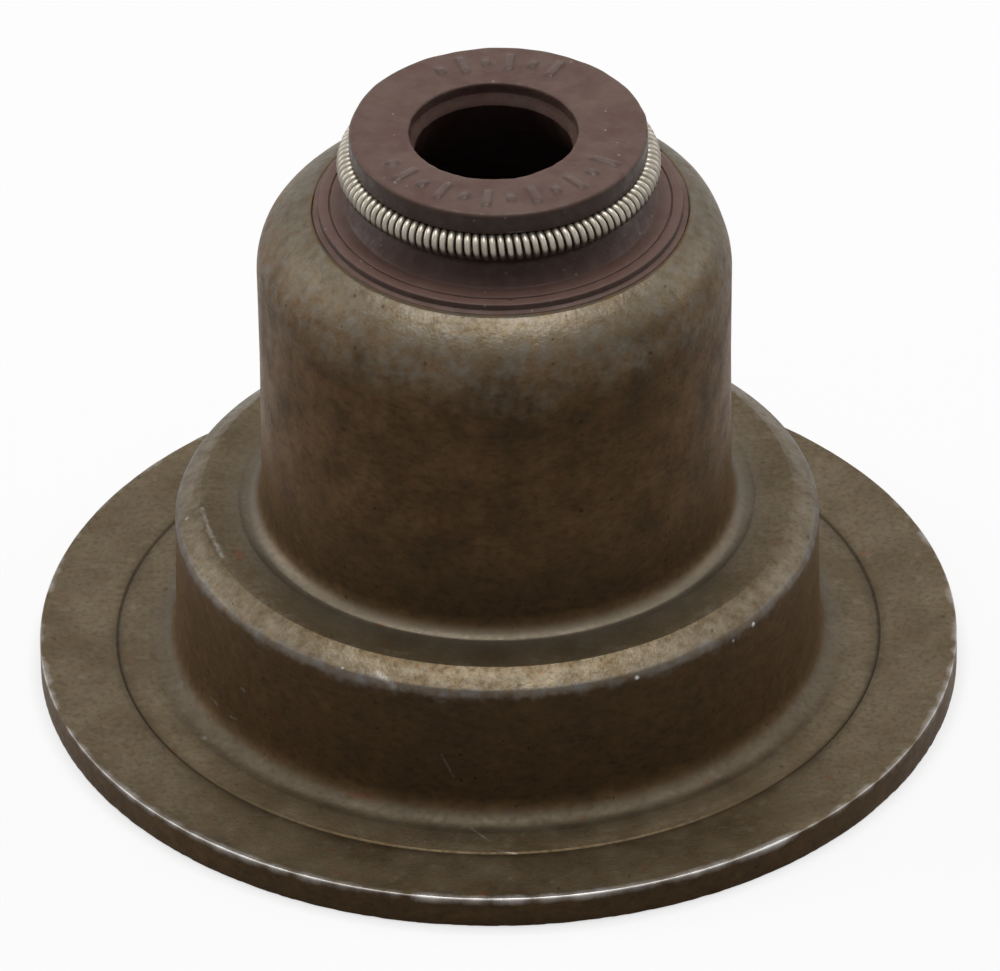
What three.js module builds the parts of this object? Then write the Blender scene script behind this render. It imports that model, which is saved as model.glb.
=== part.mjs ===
// Valve stem seal with a built-in spring seat, in millimetres, +Z up.
// A deep-drawn steel casing carries a moulded rubber body, and a garter spring closes the rubber's lip
// on the valve stem. The origin is the centre of the flange's underside.
import * as THREE from "three";

// The valve stem and valve guide that the seal is made for
const stemDiameter = 6;
const guideDiameter = 12;

// Pressed steel casing
const sheet = 1.19;
const flangeWidth = 4.93;
const seatWidth = 2.04;
const seatStepHeight = 0.1;
const seatStepSlope = 0.3;
const lowerFillet = 0.82;
const ledgeHeight = 7.32;
const ledgeWidth = 3.13;
const ledgeUnderRounding = 0.3;
const bevelWidth = 0.92;
const bevelDrop = 0.7;
const bevelRounding = 0.41;
const upperFillet = 0.72;
const canHeight = 9.89;
const swell = 0.06;
const swellLength = 3.6;
const shoulderRounding = 2.67;
const shoulderReach = 1.75;

// Moulded rubber body
const bondGap = 0.03;
const headRise = 3.43;
const headOverhang = 0.08;
const headRounding = 0.08;
const boreClearance = 0.1;
const boreDepth = 0.62;
const lipSqueeze = 0.17;
const lipDepth = 0.97;
const neckDrop = 0.79;
const neckInset = 0.39;
const collarInset = 0.21;
const collarHeight = 0.28;
const collarSlopeWidth = 0.34;
const collarSlopeRise = 0.11;
const chamberFlare = 0.49;
const guideStopRise = 0.53;
const guideStopWidth = 1.3;
const liningThickness = 1.02;
const liningStart = 0.83;
const leadInWidth = 0.4;
const leadInHeight = 0.82;
const gripCount = 3;
const gripSqueeze = 0.1;
const gripRelief = 0.2;
const gripFootWidth = 1;
const gripCrestWidth = 0.4;

// Garter spring
const springRadius = 5.26;
const springDrop = 1.42;
const coilRadius = 0.485;
const wireDiameter = 0.2;
const turnGap = 0.084;
const grooveGap = 0.03;
const grooveWrap = 150;
const nibClearance = 0.05;
const nibTurns = 4;
const taperTurns = 2;
const jointAngle = -100.5;
const wireEndAngle = -70;

// Fineness of the facets
const roundSegments = 48;
const arcStep = 30;
const coilSegments = 8;
const wireSides = 4;

const degrees = Math.PI / 180;

// The chain of radii, from the valve guide outwards
const guideRadius = guideDiameter / 2;
const valleyRadius = guideRadius + gripRelief;
const liningRadius = valleyRadius + liningThickness;
const upperWallRadius = liningRadius + bondGap + sheet;
const shoulderRadius = upperWallRadius + swell;
const holeRadius = shoulderRadius - shoulderReach;
const lowerWallRadius = upperWallRadius + ledgeWidth;
const flangeRadius = lowerWallRadius + flangeWidth;

// The chain of heights, from the flange's underside upwards
const seatTop = sheet + seatStepHeight;
const liningFoot = ledgeHeight + upperFillet + liningStart;
const shoulderHeight = ledgeHeight + canHeight;
const swellFoot = shoulderHeight - swellLength;
const guideStop = shoulderHeight + guideStopRise;

// The shoulder's outer and inner arcs share one centre and end at the wall of the hole.
const innerRounding = shoulderRounding - sheet;
const shoulderCentre = shoulderRadius - shoulderRounding;
const outerHoleAngle = Math.acos((holeRadius - shoulderCentre) / shoulderRounding) / degrees;
const innerHoleAngle = Math.acos((holeRadius - shoulderCentre) / innerRounding) / degrees;
const holeTop = shoulderHeight + shoulderRounding * Math.sin(outerHoleAngle * degrees);
const holeBottom = shoulderHeight + innerRounding * Math.sin(innerHoleAngle * degrees);

const headTop = holeTop + headRise;
const springHeight = headTop - springDrop;

// Points [radius, height] on a round stretch about a centre, between two angles in degrees.
function arc(radius, height, rounding, from, to) {
  const steps = Math.ceil(Math.abs(to - from) / arcStep);
  return Array.from({ length: steps + 1 }, (_, i) => {
    const angle = (from + ((to - from) * i) / steps) * degrees;
    return [radius + rounding * Math.cos(angle), height + rounding * Math.sin(angle)];
  });
}

// A closed profile from corners [radius, height, rounding]. A rounded corner becomes an arc that is
// tangent to both of its sides.
function closedProfile(corners) {
  const at = (i) => new THREE.Vector2().fromArray(corners[(i + corners.length) % corners.length]);
  const points = corners.flatMap(([, , rounding = 0], i) => {
    const corner = at(i);
    if (!rounding) return [corner];
    const back = at(i - 1).sub(corner).normalize();
    const on = at(i + 1).sub(corner).normalize();
    const half = Math.acos(back.dot(on)) / 2;
    const middle = back.clone().add(on).normalize();
    const centre = middle.clone().multiplyScalar(rounding / Math.sin(half)).add(corner);
    const turn = Math.sign(back.cross(on)) * (90 - half / degrees);
    const facing = middle.negate().angle() / degrees;
    const bend = arc(centre.x, centre.y, rounding, facing + turn, facing - turn);
    return bend.map(([radius, height]) => new THREE.Vector2(radius, height));
  });
  return [...points, points[0].clone()];
}

// A ring turned about the upright axis, its seam to the front.
function revolvedMesh(name, corners, material) {
  const mesh = new THREE.Mesh(new THREE.LatheGeometry(closedProfile(corners), roundSegments), material);
  mesh.name = name;
  mesh.rotation.x = Math.PI / 2;
  return mesh;
}

// One sheet of steel: flange with its coined seat, lower wall, bevelled ledge, upper wall, and a rounded
// shoulder with a hole. The inner side follows the outer one at the thickness of the sheet.
function makeCasing() {
  const stepRadius = lowerWallRadius + seatWidth;
  const corners = [
    [flangeRadius, 0],
    [flangeRadius, sheet],
    [stepRadius + seatStepSlope / 2, sheet],
    [stepRadius - seatStepSlope / 2, seatTop],
    [lowerWallRadius, seatTop, lowerFillet],
    [lowerWallRadius, ledgeHeight - bevelDrop, bevelRounding],
    [lowerWallRadius - bevelWidth, ledgeHeight],
    [upperWallRadius, ledgeHeight, upperFillet],
    [upperWallRadius, swellFoot],
    ...arc(shoulderCentre, shoulderHeight, shoulderRounding, 0, outerHoleAngle),
    ...arc(shoulderCentre, shoulderHeight, innerRounding, innerHoleAngle, 0),
    [upperWallRadius - sheet, swellFoot],
    [upperWallRadius - sheet, ledgeHeight - sheet, upperFillet + sheet],
    [lowerWallRadius - sheet, ledgeHeight - sheet, ledgeUnderRounding],
    [lowerWallRadius - sheet, 0, lowerFillet + sheet],
  ];
  const steel = new THREE.MeshStandardMaterial({ color: 0x6e6653, roughness: 0.5, metalness: 0.9 });
  return revolvedMesh("casing", corners, steel);
}

// The ribs that grip the valve guide, as corners of the lining's inner side in downward order.
function gripRibs(top, bottom) {
  const crestRadius = guideRadius - gripSqueeze;
  const spacing = (top - bottom) / gripCount;
  return Array.from({ length: gripCount }, (_, i) => {
    const middle = top - spacing * (i + 0.5);
    return [
      [valleyRadius, middle + gripFootWidth / 2],
      [crestRadius, middle + gripCrestWidth / 2],
      [crestRadius, middle - gripCrestWidth / 2],
      [valleyRadius, middle - gripFootWidth / 2],
    ];
  }).flat();
}

// The rubber: a lining inside the can, a collar that comes up through the casing's hole, a thin neck, and
// a head with the sealing lip inside and the spring's groove outside.
function makeSealBody() {
  const throatRadius = holeRadius - bondGap;
  const collarRadius = throatRadius - collarInset;
  const collarTop = holeTop + collarHeight;
  const neckHeight = springHeight - neckDrop;
  const grooveRounding = coilRadius + grooveGap;
  const boreRadius = stemDiameter / 2 + boreClearance;
  const lipRadius = stemDiameter / 2 - lipSqueeze;
  const chamberRadius = valleyRadius - guideStopWidth;
  const leadInTop = liningFoot + leadInHeight;
  const wrap = arc(shoulderCentre, shoulderHeight, innerRounding - bondGap, 0, innerHoleAngle);
  const corners = [
    [liningRadius, liningFoot],
    [liningRadius, swellFoot],
    ...wrap,
    [throatRadius, wrap.at(-1)[1]],
    [throatRadius, holeTop],
    [collarRadius, holeTop],
    [collarRadius, collarTop],
    [collarRadius - collarSlopeWidth, collarTop + collarSlopeRise],
    [springRadius - neckInset, neckHeight],
    ...arc(springRadius, springHeight, grooveRounding, 90 + grooveWrap, 90),
    [springRadius + headOverhang, springHeight + grooveRounding],
    [springRadius + headOverhang, headTop, headRounding],
    [boreRadius, headTop, headRounding],
    [boreRadius, headTop - boreDepth],
    [lipRadius, headTop - lipDepth],
    [lipRadius + chamberFlare, neckHeight],
    [chamberRadius, holeBottom],
    [chamberRadius, guideStop],
    [valleyRadius, guideStop],
    ...gripRibs(guideStop, leadInTop),
    [valleyRadius, leadInTop],
    [valleyRadius + leadInWidth, liningFoot],
  ];
  const rubber = new THREE.MeshStandardMaterial({ color: 0x4a3631, roughness: 0.45, metalness: 0 });
  return revolvedMesh("seal_body", corners, rubber);
}

// The wire's centre line: close turns wound round a circle. The last of them narrow to a nib, which lies
// inside the first ones and holds the ring closed.
class GarterCoil extends THREE.Curve {
  constructor() {
    super();
    this.turns = Math.floor((2 * Math.PI * springRadius) / (wireDiameter + turnGap));
    this.segments = (this.turns + nibTurns) * coilSegments;
    this.arcLengthDivisions = this.segments;
  }

  getPoint(t, target = new THREE.Vector3()) {
    const turn = t * (this.turns + nibTurns);
    const meanRadius = coilRadius - wireDiameter / 2;
    const nibRadius = meanRadius - wireDiameter - nibClearance;
    const narrowed = THREE.MathUtils.clamp((turn - this.turns) / taperTurns + 1, 0, 1);
    const coil = THREE.MathUtils.lerp(meanRadius, nibRadius, narrowed);
    const around = jointAngle * degrees + (turn / this.turns) * 2 * Math.PI;
    const winding = wireEndAngle * degrees - turn * 2 * Math.PI;
    const radius = springRadius + coil * Math.cos(winding);
    const height = springHeight + coil * Math.sin(winding);
    return target.set(radius * Math.cos(around), radius * Math.sin(around), height);
  }
}

function makeGarterSpring() {
  const coil = new GarterCoil();
  const section = new THREE.Shape();
  section.absarc(0, 0, wireDiameter / 2, 0, 2 * Math.PI);
  const wire = new THREE.ExtrudeGeometry(section, {
    extrudePath: coil,
    steps: coil.segments,
    curveSegments: wireSides / 2,
  });
  const steel = new THREE.MeshStandardMaterial({ color: 0xb9b2a6, roughness: 0.25, metalness: 1 });
  const mesh = new THREE.Mesh(wire, steel);
  mesh.name = "garter_spring";
  return mesh;
}

const valveStemSeal = new THREE.Group();
valveStemSeal.add(makeCasing(), makeSealBody(), makeGarterSpring());

export default valveStemSeal;
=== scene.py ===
import math

import bpy
import numpy as np
from mathutils import Matrix, Vector


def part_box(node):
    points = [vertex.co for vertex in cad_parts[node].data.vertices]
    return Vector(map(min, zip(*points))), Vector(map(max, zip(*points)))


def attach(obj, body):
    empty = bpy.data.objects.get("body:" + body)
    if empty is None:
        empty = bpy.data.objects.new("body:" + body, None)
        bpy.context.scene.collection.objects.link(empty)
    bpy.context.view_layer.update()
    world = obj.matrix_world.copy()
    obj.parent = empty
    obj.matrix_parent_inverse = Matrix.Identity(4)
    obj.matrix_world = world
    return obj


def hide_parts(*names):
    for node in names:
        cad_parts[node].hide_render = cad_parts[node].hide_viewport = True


# A valve stem seal: a pressed steel casing, a moulded rubber body bonded into it, and a garter spring.
# Lengths in the dictionaries are millimetres, angles are degrees, and the front of the part is -Y.

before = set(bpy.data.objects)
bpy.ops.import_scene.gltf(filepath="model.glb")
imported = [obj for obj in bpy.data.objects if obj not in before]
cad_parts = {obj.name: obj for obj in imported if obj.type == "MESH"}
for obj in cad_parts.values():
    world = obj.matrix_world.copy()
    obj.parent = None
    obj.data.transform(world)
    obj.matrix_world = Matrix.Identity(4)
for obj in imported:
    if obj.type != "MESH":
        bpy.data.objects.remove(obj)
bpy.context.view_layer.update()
mm = 0.001
scene = bpy.context.scene

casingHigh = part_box("casing")[1]
bodyLow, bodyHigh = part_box("seal_body")
flangeRadius = casingHigh.x / mm
headTop = bodyHigh.z / mm
liningFoot = bodyLow.z / mm
print("frame read: flange radius", round(flangeRadius, 3), "height", round(headTop, 3))


# Camera and light

view = {
    "target": (0.117, 0.0, 7.64),
    "distance": 1174.1,
    "elevation": 34.94,
    "roll": -0.622,
    "sensor": 36.0,
    "lens": 1177.8,
    "clip": (0.01, 20.0),
}

studio = {
    "lamps": {
        "softbox": {"at": (0, 35, 420), "size": 330, "power": 1.65},
        "leftPanel": {"at": (-420, 160, 170), "size": 300, "power": 0.6},
        "rightPanel": {"at": (420, 160, 170), "size": 300, "power": 0.38},
    },
    "worldLight": 0.08,
    "floorTone": 0.28,
    "floorRoughness": 0.9,
    "floorLift": 0.7,
    "floorSize": 6000.0,
    "floorGap": 0.03,
    "darkShare": 0.8,
}


def makeCamera():
    # The camera looks along forward; right and up are turned by the roll about it.
    tilt = math.radians(view["elevation"])
    roll = math.radians(view["roll"])
    forward = Vector((0.0, math.cos(tilt), -math.sin(tilt)))
    right = Vector((1.0, 0.0, 0.0))
    up = right.cross(forward)
    turnedRight = right * math.cos(roll) + up * math.sin(roll)
    turnedUp = up * math.cos(roll) - right * math.sin(roll)
    data = bpy.data.cameras.new("camera")
    data.sensor_width = view["sensor"]
    data.lens = view["lens"]
    data.clip_start, data.clip_end = view["clip"]
    camera = bpy.data.objects.new("camera", data)
    scene.collection.objects.link(camera)
    camera.matrix_world = Matrix((turnedRight, turnedUp, -forward)).transposed().to_4x4()
    camera.location = Vector(view["target"]) * mm - forward * view["distance"] * mm
    scene.camera = camera


def shownRays(tree):
    # 1 for the rays that show the background: straight to the camera, mirrored, or through glass.
    path = tree.nodes.new("ShaderNodeLightPath")
    mirrored = mathNode(tree, "MAXIMUM", path.outputs["Is Camera Ray"], path.outputs["Is Glossy Ray"])
    return mathNode(tree, "MAXIMUM", mirrored, path.outputs["Is Transmission Ray"])


def makeStudio():
    scene.view_settings.view_transform = "Standard"
    world = bpy.data.worlds.new("studio")
    world.use_nodes = True
    scene.world = world
    tree = world.node_tree
    background = tree.nodes["Background"]
    background.inputs["Color"].default_value = (1.0, 1.0, 1.0, 1.0)
    strength = mathNode(tree, "MAXIMUM", shownRays(tree), studio["worldLight"])
    tree.links.new(strength, background.inputs["Strength"])

    for name, lamp in studio["lamps"].items():
        data = bpy.data.lights.new(name, "AREA")
        data.shape = "SQUARE"
        data.size = lamp["size"] * mm
        data.energy = lamp["power"]
        light = bpy.data.objects.new(name, data)
        light.location = Vector(lamp["at"]) * mm
        aim = light.location if lamp["at"][0] else Vector((0.0, 0.0, 1.0))
        light.rotation_euler = aim.to_track_quat("Z", "Y").to_euler()
        scene.collection.objects.link(light)

    half = studio["floorSize"] / 2 * mm
    low = -studio["floorGap"] * mm
    corners = [(-half, -half, low), (half, -half, low), (half, half, low), (-half, half, low)]
    mesh = bpy.data.meshes.new("floor")
    mesh.from_pydata(corners, [], [(0, 1, 2, 3)])
    floor = bpy.data.objects.new("floor", mesh)
    scene.collection.objects.link(floor)
    material = bpy.data.materials.new("floor")
    material.use_nodes = True
    tree = material.node_tree
    principled = tree.nodes["Principled BSDF"]
    principled.inputs["Base Color"].default_value = (studio["floorTone"],) * 3 + (1.0,)
    principled.inputs["Roughness"].default_value = studio["floorRoughness"]
    principled.inputs["Specular IOR Level"].default_value = 0.0
    principled.inputs["Emission Color"].default_value = (1.0, 1.0, 1.0, 1.0)
    # Under the part the floor stays as it is, so that nothing shines up into the bore.
    away = vectorNode(tree, "LENGTH", tree.nodes.new("ShaderNodeTexCoord").outputs["Object"])
    clear = mapRange(tree, away, studio["darkShare"] * flangeRadius * mm, flangeRadius * mm)
    shown = mathNode(tree, "MULTIPLY", shownRays(tree), clear)
    lift = mathNode(tree, "MULTIPLY", shown, studio["floorLift"])
    tree.links.new(lift, principled.inputs["Emission Strength"])
    mesh.materials.append(material)


# Node helpers

def feed(tree, source, socket):
    # A socket takes a number or a colour as it is, and anything else as a link.
    if isinstance(source, (int, float, tuple)):
        socket.default_value = source
    else:
        tree.links.new(source, socket)


def mathNode(tree, operation, first, second=0.0):
    node = tree.nodes.new("ShaderNodeMath")
    node.operation = operation
    feed(tree, first, node.inputs[0])
    feed(tree, second, node.inputs[1])
    return node.outputs[0]


def mapRange(tree, value, fromLow, fromHigh, toLow=0.0, toHigh=1.0):
    node = tree.nodes.new("ShaderNodeMapRange")
    for socket, source in zip(node.inputs, (value, fromLow, fromHigh, toLow, toHigh)):
        feed(tree, source, socket)
    return node.outputs[0]


def mixColour(tree, factor, first, second):
    node = tree.nodes.new("ShaderNodeMix")
    node.data_type = "RGBA"
    feed(tree, factor, node.inputs["Factor"])
    feed(tree, first, node.inputs[6])
    feed(tree, second, node.inputs[7])
    return node.outputs[2]


def tint(tree, under, mask, share, over):
    # A share of one colour laid over another where the mask is 1.
    return mixColour(tree, mathNode(tree, "MULTIPLY", mask, share), under, over)


def noise(tree, vector, size, detail=3.0, roughness=0.55):
    # Noise whose blobs are about this many millimetres wide.
    node = tree.nodes.new("ShaderNodeTexNoise")
    node.inputs["Detail"].default_value = detail
    node.inputs["Roughness"].default_value = roughness
    tree.links.new(vector, node.inputs["Vector"])
    feed(tree, mathNode(tree, "DIVIDE", 1.0 / mm, size), node.inputs["Scale"])
    return node.outputs["Fac"]


def vectorNode(tree, operation, first, second=(0.0, 0.0, 0.0)):
    node = tree.nodes.new("ShaderNodeVectorMath")
    node.operation = operation
    feed(tree, first, node.inputs[0])
    feed(tree, second, node.inputs[1])
    return node.outputs["Value" if operation in ("DOT_PRODUCT", "LENGTH") else "Vector"]


def newGroup(name, inputs, output):
    # A shader node group whose inputs are {name: value}, a number or a vector, and one number output.
    group = bpy.data.node_groups.new(name, "ShaderNodeTree")
    for label, value in inputs.items():
        kind = "NodeSocketVector" if isinstance(value, tuple) else "NodeSocketFloat"
        group.interface.new_socket(label, in_out="INPUT", socket_type=kind).default_value = value
    group.interface.new_socket(output, in_out="OUTPUT", socket_type="NodeSocketFloat")
    given = group.nodes.new("NodeGroupInput").outputs
    result = group.nodes.new("NodeGroupOutput").inputs
    where = group.nodes.new("ShaderNodeTexCoord").outputs["Object"]
    return group, given, result[output], where


def place(tree, group, **values):
    # The group in a material, with its own values and one output.
    node = tree.nodes.new("ShaderNodeGroup")
    node.node_tree = group
    for label, value in values.items():
        feed(tree, value, node.inputs[label])
    return node.outputs[0]


def makeCloudGroup():
    # Soft patches: noise in the piece's own space, stretched so that it runs from 0 to 1.
    values = {"Size": 1.0, "Low": 0.4, "High": 0.6, "Offset": 0.0, "Stretch": (1.0, 1.0, 1.0)}
    group, given, mask, where = newGroup("cloudPatches", values, "Mask")
    moved = vectorNode(group, "ADD", where, given["Offset"])
    moved = vectorNode(group, "MULTIPLY", moved, given["Stretch"])
    patches = noise(group, moved, given["Size"], 4.0, 0.58)
    feed(group, mapRange(group, patches, given["Low"], given["High"]), mask)
    return group


def makeWearGroup():
    # Wear: a mask from the mesh, broken up by noise so that it comes and goes along an edge.
    values = {"Edge": 0.0, "Size": 0.4, "Break": 1.0, "Low": 0.4, "High": 0.7, "Offset": 0.0}
    group, given, mask, where = newGroup("edgeWear", values, "Mask")
    broken = noise(group, vectorNode(group, "ADD", where, given["Offset"]), given["Size"], 4.0, 0.65)
    broken = mathNode(group, "MULTIPLY", mathNode(group, "SUBTRACT", broken, 0.5), given["Break"])
    raised = mathNode(group, "ADD", given["Edge"], broken)
    feed(group, mapRange(group, raised, given["Low"], given["High"]), mask)
    return group


def makeGrainGroup():
    # Grain: two sizes of fine noise, added up as a height.
    group, given, height, where = newGroup("fineGrain", {"Size": 0.1, "Coarse": 0.4, "Share": 1.5}, "Height")
    fine = noise(group, where, given["Size"])
    coarse = noise(group, vectorNode(group, "ADD", where, (0.03, 0.01, 0.02)), given["Coarse"])
    feed(group, mathNode(group, "ADD", fine, mathNode(group, "MULTIPLY", coarse, given["Share"])), height)
    return group


def makePitGroup():
    # Pits: a speck in the middle of some Voronoi cells, its size taken from the cell's random colour.
    values = {"Size": 0.8, "Width": 0.3, "Share": 0.3, "Stretch": (1.0, 1.0, 1.0)}
    group, given, mask, where = newGroup("pits", values, "Mask")
    cells = group.nodes.new("ShaderNodeTexVoronoi")
    feed(group, vectorNode(group, "MULTIPLY", where, given["Stretch"]), cells.inputs["Vector"])
    feed(group, mathNode(group, "DIVIDE", 1.0 / mm, given["Size"]), cells.inputs["Scale"])
    parts = group.nodes.new("ShaderNodeSeparateColor")
    feed(group, cells.outputs["Color"], parts.inputs[0])
    chosen = mathNode(group, "LESS_THAN", parts.outputs[0], given["Share"])
    width = mathNode(group, "MULTIPLY", given["Width"], parts.outputs[1])
    spot = mapRange(group, cells.outputs["Distance"], width, mathNode(group, "MULTIPLY", width, 0.5))
    feed(group, mathNode(group, "MULTIPLY", spot, chosen), mask)
    return group


def makeScratchGroup():
    # A scratch: 1 near the straight line between two points, 0 beyond its width, thinned by noise.
    values = {"From": (0.0, 0.0, 0.0), "To": (1.0, 0.0, 0.0), "Width": 0.05}
    group, given, mask, where = newGroup("scratch", values, "Mask")
    line = vectorNode(group, "SUBTRACT", given["To"], given["From"])
    offset = vectorNode(group, "SUBTRACT", where, given["From"])
    share = mathNode(group, "DIVIDE", vectorNode(group, "DOT_PRODUCT", offset, line),
                     vectorNode(group, "DOT_PRODUCT", line, line))
    share = mapRange(group, share, 0.0, 1.0)
    on = group.nodes.new("ShaderNodeVectorMath")
    on.operation = "SCALE"
    feed(group, line, on.inputs[0])
    feed(group, share, on.inputs["Scale"])
    away = vectorNode(group, "LENGTH", vectorNode(group, "SUBTRACT", offset, on.outputs[0]))
    thin = mathNode(group, "MULTIPLY", given["Width"], noise(group, where, 0.3))
    feed(group, mapRange(group, away, thin, 0.0), mask)
    return group


def attribute(tree, name):
    node = tree.nodes.new("ShaderNodeAttribute")
    node.attribute_name = name
    return node.outputs["Fac"]


def bump(tree, height, strength, distance):
    node = tree.nodes.new("ShaderNodeBump")
    node.inputs["Strength"].default_value = strength
    node.inputs["Distance"].default_value = distance * mm
    feed(tree, height, node.inputs["Height"])
    return node.outputs["Normal"]


def newMaterial(name):
    material = bpy.data.materials.new(name)
    material.use_nodes = True
    return material, material.node_tree, material.node_tree.nodes["Principled BSDF"]


makeCamera()
makeStudio()
cloudPatches = makeCloudGroup()
edgeWear = makeWearGroup()
fineGrain = makeGrainGroup()
pits = makePitGroup()
scratch = makeScratchGroup()
print("camera, light and node groups made")


# Surface helpers

# A rounded corner's facets: their length, and the least and the greatest angle that one turns through
arcs = {"facet": 0.04, "angles": (11, 30)}


def roundedOutline(corners, spacings):
    # A closed outline through corners (radius, height, rounding). A rounded corner is an arc tangent to
    # both sides: its centre lies on the corner's bisector, rounding / sin(half angle) away from it.
    # Straight stretches are cut at the spacing given for the side that follows each corner.
    places = np.array([corner[:2] for corner in corners])
    leastTurn, greatestTurn = (math.radians(angle) for angle in arcs["angles"])
    runs = []
    for i, (radius, height, rounding) in enumerate(corners):
        corner = places[i]
        if not rounding:
            runs.append(corner[None])
            continue
        back = places[i - 1] - corner
        on = places[(i + 1) % len(corners)] - corner
        back = back / np.hypot(*back)
        on = on / np.hypot(*on)
        half = math.acos(np.clip(back @ on, -1.0, 1.0)) / 2
        middle = (back + on) / np.hypot(*(back + on))
        centre = corner + middle * rounding / math.sin(half)
        facing = math.atan2(-middle[1], -middle[0])
        turn = math.copysign(math.pi / 2 - half, back[0] * on[1] - back[1] * on[0])
        step = np.clip(arcs["facet"] / rounding, leastTurn, greatestTurn)
        steps = max(2, math.ceil(abs(turn) * 2 / step))
        angles = np.linspace(facing + turn, facing - turn, steps + 1)
        runs.append(centre + rounding * np.stack([np.cos(angles), np.sin(angles)], 1))
    points = []
    for i, run in enumerate(runs):
        after = runs[(i + 1) % len(runs)][0]
        length = np.hypot(*(after - run[-1]))
        steps = max(1, round(length / spacings[i]))
        straight = run[-1] + (after - run[-1]) * np.linspace(0, 1, steps + 1)[1:-1, None]
        points += [run, straight]
    return np.concatenate(points)


def outlineNormals(points):
    # The outward normal of a closed outline that runs upwards on its outer side.
    along = np.roll(points, -1, 0) - np.roll(points, 1, 0)
    along /= np.hypot(along[:, 0], along[:, 1])[:, None]
    return np.stack([along[:, 1], -along[:, 0]], 1)


def randomField(shape, waves, seed):
    # A smooth random field that repeats in both directions: white noise whose waves are weighted by
    # exp(-(frequency / waves) squared) along each axis, brought to a spread of 1.
    white = np.random.default_rng(seed).standard_normal(shape)
    rows = np.fft.fftfreq(shape[0], 1 / shape[0])[:, None]
    columns = np.fft.fftfreq(shape[1], 1 / shape[1])[None, :]
    weight = np.exp(-((rows / waves[0]) ** 2) - (columns / waves[1]) ** 2)
    field = np.fft.ifft2(np.fft.fft2(white) * weight).real
    field -= field.mean()
    return field / field.std()


def outlineField(points, columns, size, seed):
    # A smooth random field on a turned surface, its bumps about size millimetres across: a field on an
    # even grid along the outline's length, read off between its rows at each point's own length.
    evenRows = 1024
    steps = np.hypot(*(np.roll(points, -1, 0) - points).T)
    length = np.concatenate([[0], np.cumsum(steps)])
    around = 2 * np.pi * points[:, 0].max()
    field = randomField((evenRows, columns), (length[-1] / size / 2, around / size / 2), seed)
    position = length[:-1] / length[-1] * evenRows
    row = position.astype(int)
    share = (position - row)[:, None]
    return field[row % evenRows] * (1 - share) + field[(row + 1) % evenRows] * share


def smoothStep(low, high, value):
    t = np.clip((value - low) / (high - low), 0.0, 1.0)
    return t * t * (3 - 2 * t)


def bell(distance, width):
    # 1 where the distance is 0, falling off over the width.
    return np.exp(-((distance / width) ** 2))


# How far the hole, the head and the bore stand off the axis, the heights between which the shift comes in
# and changes, and the radii between which it fades to that of the bore
off = {
    "hole": 0.25,
    "head": 0.2,
    "bore": 0.02,
    "rise": (18.0, 19.6),
    "fall": (20.0, 21.0),
    "rim": (3.9, 3.2),
}


def centreShift(radius, height):
    # The hole in the shoulder and the moulding in it sit a little off the axis, to the right, and the bore
    # in the head a little less.
    hole = off["hole"] * smoothStep(*off["rise"], height)
    inHead = smoothStep(*off["fall"], height)
    bore = (off["head"] - off["bore"]) * inHead * smoothStep(*off["rim"], radius)
    return hole - (off["hole"] - off["head"]) * inHead - bore


def gridMesh(name, x, y, z, attributes, material, closedRows=True):
    # Quads between neighbouring points of a grid that closes on itself across its columns, and along
    # its rows too if closedRows. Along a column and then along a row turns outwards.
    rows, columns = x.shape
    points = np.stack([x, y, z], -1).reshape(-1, 3) * mm
    index = np.arange(rows * columns).reshape(rows, columns)
    right = np.roll(index, -1, 1)
    above = np.roll(index, -1, 0)
    across = np.roll(right, -1, 0)
    faces = np.stack([index, right, across, above], -1)
    if not closedRows:
        faces = faces[:-1]
    faces = faces.reshape(-1, 4)
    mesh = bpy.data.meshes.new(name)
    mesh.vertices.add(len(points))
    mesh.vertices.foreach_set("co", points.astype(np.float32).ravel())
    mesh.loops.add(faces.size)
    mesh.loops.foreach_set("vertex_index", faces.astype(np.int32).ravel())
    mesh.polygons.add(len(faces))
    mesh.polygons.foreach_set("loop_start", np.arange(0, faces.size, 4, dtype=np.int32))
    mesh.polygons.foreach_set("use_smooth", np.ones(len(faces), dtype=bool))
    mesh.update(calc_edges=True)
    for label, values in attributes.items():
        layer = mesh.attributes.new(label, "FLOAT", "POINT")
        layer.data.foreach_set("value", np.broadcast_to(values, x.shape).astype(np.float32).ravel())
    mesh.materials.append(material)
    piece = bpy.data.objects.new(name, mesh)
    scene.collection.objects.link(piece)
    return piece


def turnedPiece(name, radius, height, columns, attributes, material):
    # A turned surface: point (radius, height) of the outline carried round the upright axis, from the
    # front towards +X. Both are grids and may vary round the axis.
    around = np.linspace(0, 2 * np.pi, columns, endpoint=False)[None, :]
    x = radius * np.sin(around) + centreShift(radius, height)
    y = -radius * np.cos(around)
    return gridMesh(name, x, y, height, attributes, material)


def finishPiece(piece, node):
    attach(piece, "root")
    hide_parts(node)


# Steel casing

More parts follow.
